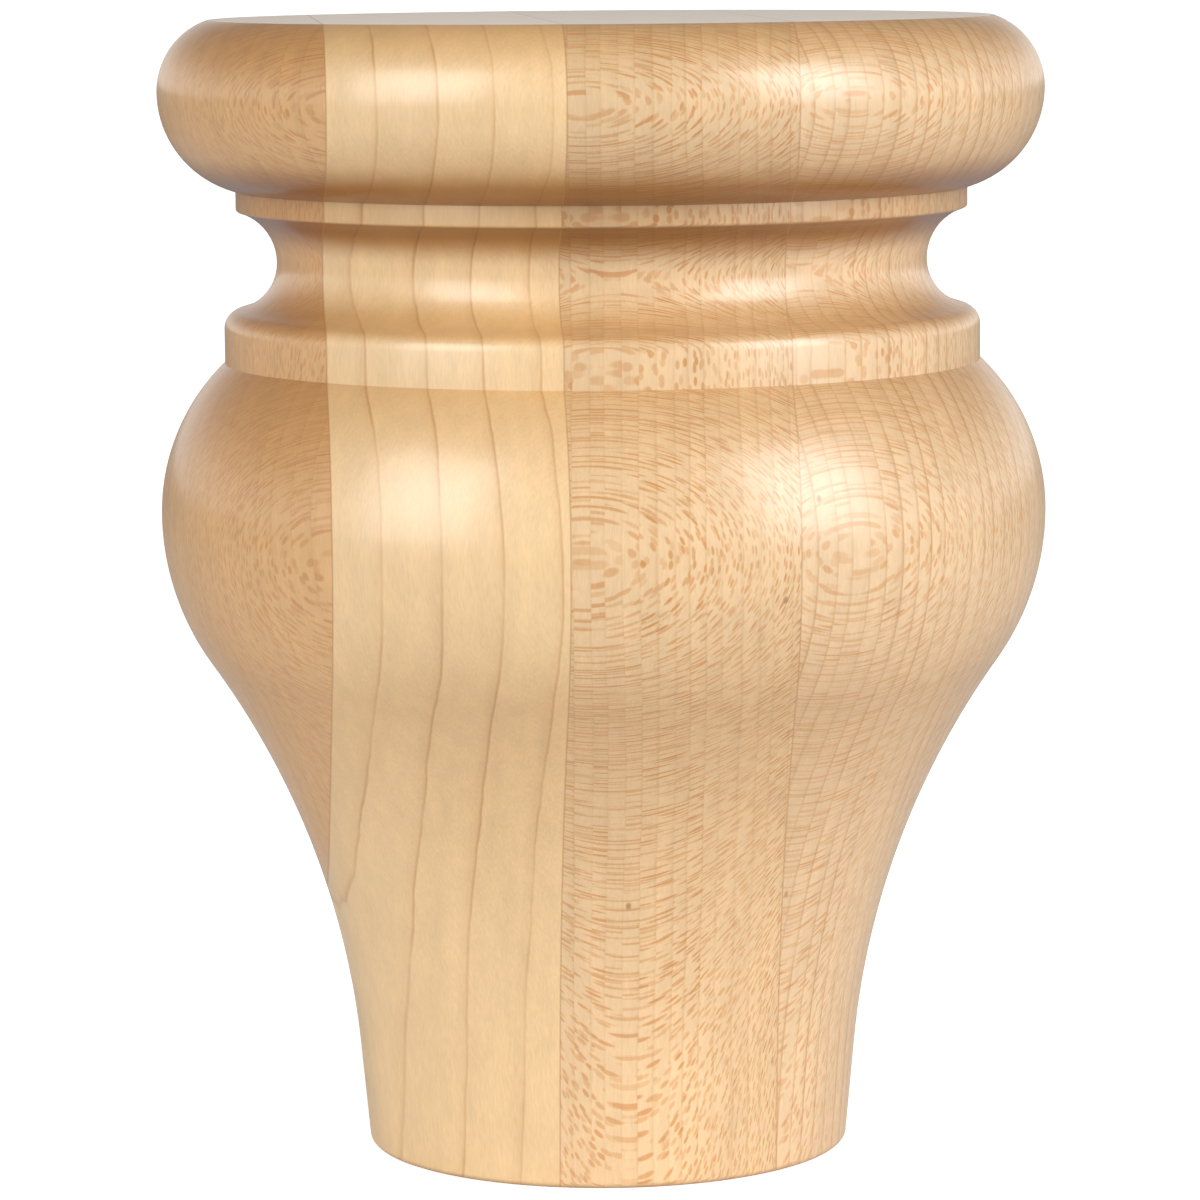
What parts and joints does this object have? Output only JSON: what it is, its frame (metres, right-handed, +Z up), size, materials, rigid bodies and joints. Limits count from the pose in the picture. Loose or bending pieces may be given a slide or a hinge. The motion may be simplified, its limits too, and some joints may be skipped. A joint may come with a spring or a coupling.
{
  "type": "bun foot",
  "caption": "Turned wooden bun foot: rounded top bead, cove between two bands, swelling belly and a tapered base, glued up from flat-sawn boards.",
  "frame": {"origin": "centre of the flat base, where the turning axis meets the floor", "axes": "+Z up along the turning axis; the boards lie side by side along X, and -Y is the side the picture shows"},
  "size_m": [0.0892, 0.0892, 0.1143],
  "materials": {
    "maple": "clear satin lacquer over sanded maple"
  },
  "bodies": {
    "root": {"left_outer_board": "maple", "left_inner_board": "maple", "right_inner_board": "maple", "right_outer_board": "maple"}
  },
  "joints": []
}
